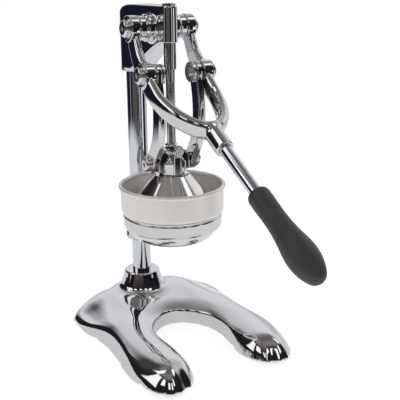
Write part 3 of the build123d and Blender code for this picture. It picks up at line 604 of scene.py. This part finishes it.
def link_field(side):
    def field(p):
        x, back, height = p[:, 0] * side, p[:, 1], p[:, 2]
        from_crank = hypot(back - CRANK.y, height - CRANK.z)
        from_lug = hypot(back - LUG.y, height - LUG.z)
        bar = open_line(back, height, link_path.tolist()) - LINK_WIDTH / 2
        flat = join(join(bar, from_crank - UPPER_EYE, 3.0), from_lug - LOWER_EYE, 3.0)
        body = prism(flat, x - (LINK_INNER + LINK_OUTER) / 2, (LINK_OUTER - LINK_INNER) / 2, 2.2)
        return cut(cut(body, from_crank - BOLT_BORE, 0.2), from_lug - STUD_BORE, 0.2)
    return field


for hand, side in (("left", -1), ("right", 1)):
    low, high = sorted((side * LINK_INNER, side * LINK_OUTER))
    verts, faces = surface_of(link_field(side), (low, -114, 200), (high, -74, 322), 0.6)
    piece(f"link_bar_{hand}", verts, faces, f"link_{hand}", f"link_{hand}", "cast_chrome")

# ---- crosshead: hub, eight-sided skirt, two rounded lugs and the front screw's boss ----------------
# Hub as (radius, height); outline of the lugs as (x, height).
HUB = [(0, 209), (12.6, 209), (12.2, 212), (10.6, 215), (9.0, 218), (7.7, 222), (6.9, 226), (6.6, 229.4),
       (7.0, 229.8), (6.6, 232.3), (0, 232.5)]
SHOULDER = [(0, 202), (19.5, 202), (19.5, 212), (18.8, 216), (17.4, 219.8), (14.6, 223.4), (11, 225.8),
            (6, 227), (0, 227)]
SKIRT_HALF, SKIRT_BOTTOM, SKIRT_TOP = 13.5, 198.0, 211.5
SCREW_HEIGHT = centre("crosshead_screw").z
LUG_HALF, LUG_TAPER, TAPER_BOTTOM, TAPER_HEIGHT = 7.0, 1.0, 211.6, 15.4
BOSS_RADIUS, BOSS_MIDDLE, BOSS_HALF = 6.4, -9.2, 7.2
RIB_HALF, RIB_MIDDLE, RIB_DEPTH_HALF, RIB_HEIGHT, RIB_HEIGHT_HALF = 4.5, -9.0, 5.4, 211.0, 13.0
RAM_BORE = 4.8


def crosshead_field(p):
    x, back, height = np.abs(p[:, 0]), p[:, 1] - PRESS_BACK, p[:, 2]
    hub = polygon(hypot(x, back), height, HUB)
    flats = [x * math.cos(a) + np.abs(back) * math.sin(a) for a in (0, math.pi / 4, math.pi / 2)]
    skirt = prism(np.maximum.reduce(flats) - SKIRT_HALF, height - (SKIRT_BOTTOM + SKIRT_TOP) / 2,
                  (SKIRT_TOP - SKIRT_BOTTOM) / 2, 0.6)
    taper = np.clip((height - TAPER_BOTTOM) / TAPER_HEIGHT, 0, 1)
    lugs = meet(polygon(x, height, SHOULDER), np.abs(back) - LUG_HALF + LUG_TAPER * taper, 1.2)
    boss = prism(hypot(x, height - SCREW_HEIGHT) - BOSS_RADIUS, back - BOSS_MIDDLE, BOSS_HALF, 0.6)
    rib_side = np.abs(back - RIB_MIDDLE) - RIB_DEPTH_HALF
    rib_end = np.abs(height - RIB_HEIGHT) - RIB_HEIGHT_HALF
    rib = meet(x - RIB_HALF, np.maximum(rib_side, rib_end), 0.8)
    body = join(join(hub, lugs, 1.5), join(skirt, join(boss, rib, 1.0), 0.6), 1.2)
    return cut(body, hypot(x, back) - RAM_BORE, 0.2)


verts, faces = surface_of(crosshead_field, (-20, PRESS_BACK - 17, 197), (20, PRESS_BACK + 15, 234), 0.5)
piece("crosshead_casting", verts, faces, "ram", "crosshead", "cast_chrome")

# ---- cup holder: a turned ring on a clamp --------------------------------------------------------
RING_TOP, RING_BOTTOM, RING_BORE = 153.0, 137.5, 50
RING = [
    (RING_BORE, RING_BOTTOM), (54, RING_BOTTOM), (55.7, RING_BOTTOM + 3), (56, RING_TOP - 1.2),
    (55.2, RING_TOP), (RING_BORE, RING_TOP),
]
lathe("holder_ring", RING, 1.0, PRESS_BACK, "frame", "cup_holder", "cast_chrome")
# Side of the arm between clamp and ring, as (distance back, height).
ARM_SIDE = [
    (-4, 149.5), (-36.5, 149.5), (-36.5, 139), (-34, 138), (-29, 134), (-24, 128), (-20, 120.5),
    (-17, 112), (-8, 108), (-4, 108),
]
CLAMP_RADIUS, CLAMP_MIDDLE, CLAMP_HALF = 18.0, 123.5, 26.5
HOLDER_ARM_HALF, RING_SEAT = 12.5, 51.5
COLUMN_BORE, SCREW_BORE, CLAMP_SCREW_HEIGHT, SCREW_BORE_END = 11.6, 3.1, 104, -8


def holder_field(p):
    x, back, height = p.T
    clamp = prism(hypot(x, back) - CLAMP_RADIUS, height - CLAMP_MIDDLE, CLAMP_HALF, 1.4)
    arm = meet(polygon(back, height, ARM_SIDE), np.abs(x) - HOLDER_ARM_HALF, 2.2)
    body = join(clamp, arm, 4.0)
    body = cut(body, hypot(x, back - PRESS_BACK) - RING_SEAT, 0.3)
    body = cut(body, hypot(x, back) - COLUMN_BORE, 0.5)
    hole = np.maximum(hypot(back, height - CLAMP_SCREW_HEIGHT) - SCREW_BORE, x - SCREW_BORE_END)
    return cut(body, hole, 0.4)


verts, faces = surface_of(holder_field, (-19, -37, 96), (19, 19, 151), 0.7)
piece("holder_clamp", verts, faces, "frame", "cup_holder", "cast_chrome")

# ---- stage: floor, studio surroundings, lamps, camera ----------------------------------------------
# The floor fades out before its edge. It shines less in the chrome than by itself.
FLOOR_SIZE = 2.0
FADE_CENTRE, FADE_START, FADE_END = (-0.25, 0.2, 0), 0.75, 1.1
FLOOR_GLOW, MIRRORED_GLOW = 0.62, 0.37
mesh = bpy.data.meshes.new("floor")
corners = [(x * FLOOR_SIZE, y * FLOOR_SIZE, 0) for x, y in ((-1, -1), (1, -1), (1, 1), (-1, 1))]
mesh.from_pydata(corners, [], [(0, 1, 2, 3)])
floor = bpy.data.objects.new("floor", mesh)
bpy.context.scene.collection.objects.link(floor)
paper = bpy.data.materials.new("paper")
paper.use_nodes = True
mesh.materials.append(paper)
sheet = paper.node_tree
shader = sheet.nodes["Principled BSDF"]
shader.inputs["Base Color"].default_value = (0.88, 0.88, 0.885, 1)
shader.inputs["Roughness"].default_value = 0.8
shader.inputs["Emission Color"].default_value = (1, 1, 1, 1)
ray = sheet.nodes.new("ShaderNodeLightPath")
glow = sheet.nodes.new("ShaderNodeMapRange")
glow.inputs["To Min"].default_value = FLOOR_GLOW
glow.inputs["To Max"].default_value = MIRRORED_GLOW
sheet.links.new(ray.outputs["Is Glossy Ray"], glow.inputs["Value"])
sheet.links.new(glow.outputs["Result"], shader.inputs["Emission Strength"])
spot = sheet.nodes.new("ShaderNodeTexCoord")
reach = sheet.nodes.new("ShaderNodeVectorMath")
reach.operation = "DISTANCE"
reach.inputs[1].default_value = FADE_CENTRE
sheet.links.new(spot.outputs["Object"], reach.inputs[0])
fade = sheet.nodes.new("ShaderNodeMapRange")
fade.interpolation_type = "SMOOTHSTEP"
fade.inputs["From Min"].default_value = FADE_START
fade.inputs["From Max"].default_value = FADE_END
sheet.links.new(reach.outputs["Value"], fade.inputs["Value"])
clear = sheet.nodes.new("ShaderNodeBsdfTransparent")
blend = sheet.nodes.new("ShaderNodeMixShader")
sheet.links.new(fade.outputs["Result"], blend.inputs[0])
sheet.links.new(shader.outputs[0], blend.inputs[1])
sheet.links.new(clear.outputs[0], blend.inputs[2])
sheet.links.new(blend.outputs[0], sheet.nodes["Material Output"].inputs["Surface"])

world = bpy.data.worlds.new("studio")
world.use_nodes = True
bpy.context.scene.world = world
tree = world.node_tree
tree.nodes.clear()


def node(kind, **values):
    made = tree.nodes.new(kind)
    for key, value in values.items():
        setattr(made, key, value)
    return made


def plug(value, socket):
    if isinstance(value, bpy.types.NodeSocket):
        tree.links.new(value, socket)
    else:
        socket.default_value = value


def calculate(operation, a, b=0.0):
    made = node("ShaderNodeMath", operation=operation)
    plug(a, made.inputs[0])
    plug(b, made.inputs[1])
    return made.outputs[0]


def ramp(value, low, high):
    """0 below low, 1 above high, smooth between; the other way round if low is above high."""
    made = node("ShaderNodeMapRange", interpolation_type="SMOOTHSTEP")
    plug(value, made.inputs["Value"])
    made.inputs["From Min"].default_value = min(low, high)
    made.inputs["From Max"].default_value = max(low, high)
    made.inputs["To Min"].default_value = 0.0 if low < high else 1.0
    made.inputs["To Max"].default_value = 1.0 if low < high else 0.0
    return made.outputs["Result"]


def mixed(share, a, b):
    made = node("ShaderNodeMix", data_type="RGBA")
    plug(share, made.inputs[0])
    for value, socket in ((a, made.inputs[6]), (b, made.inputs[7])):
        plug(value if isinstance(value, bpy.types.NodeSocket) else (*value, 1), socket)
    return made.outputs[2]


# The surroundings only show in the chrome: panels by azimuth from the camera's side and elevation.
VIEW_TURN = math.radians(30.34)
towards = Vector((-math.sin(VIEW_TURN), -math.cos(VIEW_TURN), 0))
rightwards = Vector((math.cos(VIEW_TURN), -math.sin(VIEW_TURN), 0))
look = node("ShaderNodeTexCoord").outputs["Generated"]
spots = []
for axis in (towards, rightwards, Vector((0, 0, 1))):
    dot = node("ShaderNodeVectorMath", operation="DOT_PRODUCT")
    plug(look, dot.inputs[0])
    dot.inputs[1].default_value = axis
    spots.append(dot.outputs["Value"])
azimuth = calculate("MULTIPLY", calculate("ARCTAN2", spots[1], spots[0]), 180 / math.pi)
elevation = calculate("MULTIPLY", calculate("ARCSINE", spots[2]), 180 / math.pi)


def panel(left, right, bottom, top, soft):
    """Mask of a light panel, in degrees: azimuth from the camera's side, elevation."""
    sides = calculate("MULTIPLY", ramp(azimuth, left - soft, left + soft),
                   ramp(azimuth, right + soft, right - soft))
    ends = calculate("MULTIPLY", ramp(elevation, bottom - soft, bottom + soft),
                  ramp(elevation, top + soft, top - soft))
    return calculate("MULTIPLY", sides, ends)


far_wall = mixed(ramp(elevation, 2, 13), (0.62, 0.62, 0.64), (0.88, 0.88, 0.90))
back_wall = mixed(ramp(elevation, 24, 66), far_wall, (0.26, 0.245, 0.24))
ceiling = mixed(ramp(elevation, 60, 88), back_wall, (0.15, 0.135, 0.13))
brown = mixed(panel(-46, 10, -60, 60, 3), (0.010, 0.010, 0.016), (0.11, 0.092, 0.086))
dark = mixed(ramp(azimuth, -62, -84), brown, (0.012, 0.014, 0.030))
dark = mixed(ramp(elevation, 4, 20), dark, (0.022, 0.018, 0.020))
dark = mixed(ramp(elevation, 30, 60), dark, (0.10, 0.088, 0.082))
low_wall = mixed(ramp(elevation, -4, 2), (0.62, 0.62, 0.65), ceiling)
dark_side = panel(-146, 110, -95, 56, 8)
light = mixed(dark_side, low_wall, dark)
for left, right, bottom, top, soft, strength in (
    (-88, -56, 20, 48, 1.2, 1.35),
    (34, 41, -60, 4, 1.0, 0.9),
    (62, 74, -60, 4, 1.5, 1.25),
    (-75, -69, -50, 5, 1.0, 0.55),
    (-112, -84, 48, 72, 2.0, 1.4),
    (84, 112, 44, 72, 2.0, 1.4),
    (-44, -30, 31, 46, 0.8, 1.5),
    (-12, 0, 29, 43, 0.8, 1.5),
    (16, 28, 29, 43, 0.8, 1.5),
    (42, 56, 33, 50, 0.8, 1.5),
):
    light = mixed(panel(left, right, bottom, top, soft), light, (strength, strength, strength))
seen = mixed(node("ShaderNodeLightPath").outputs["Is Camera Ray"], light, (1.0, 1.0, 1.0))
background = node("ShaderNodeBackground")
plug(seen, background.inputs["Color"])
out = node("ShaderNodeOutputWorld")
plug(background.outputs[0], out.inputs["Surface"])


def lamp(name, place, aim, size, power):
    data = bpy.data.lights.new(name, "AREA")
    data.shape = "RECTANGLE"
    data.size = data.size_y = size
    data.energy = power
    obj = bpy.data.objects.new(name, data)
    bpy.context.scene.collection.objects.link(obj)
    obj.location = place
    obj.rotation_euler = (Vector(aim) - Vector(place)).to_track_quat("-Z", "Y").to_euler()
    obj.visible_glossy = False
    obj.visible_camera = False


lamp("key", (-1.6, -1.6, 1.9), (0, 0, 0.15), 1.4, 7)
lamp("fill", (1.7, -1.2, 1.1), (0, 0, 0.15), 1.2, 3.5)
lamp("top", (0, 0.2, 2.4), (0, 0, 0), 2.2, 5)

CAMERA_PLACE = (-0.3752, -0.6382, 0.4122)
camera = bpy.data.objects.new("camera", bpy.data.cameras.new("camera"))
bpy.context.scene.collection.objects.link(camera)
yaw, pitch, roll = -VIEW_TURN, math.radians(16.97), math.radians(-0.3)
forward = Vector((-math.sin(yaw) * math.cos(pitch), math.cos(yaw) * math.cos(pitch), -math.sin(pitch)))
flat_right = Vector((math.cos(yaw), math.sin(yaw), 0))
flat_up = flat_right.cross(forward)
right = math.cos(roll) * flat_right + math.sin(roll) * flat_up
upward = -math.sin(roll) * flat_right + math.cos(roll) * flat_up
turn = Matrix((right, upward, -forward)).transposed().to_4x4()
camera.matrix_world = Matrix.Translation(CAMERA_PLACE) @ turn
camera.data.lens = 66.74
camera.data.sensor_width = 36.0
camera.data.shift_x, camera.data.shift_y = -0.0057, -0.0042
camera.data.clip_start, camera.data.clip_end = 0.01, 60
bpy.context.scene.camera = camera
bpy.context.scene.view_settings.view_transform = "Standard"
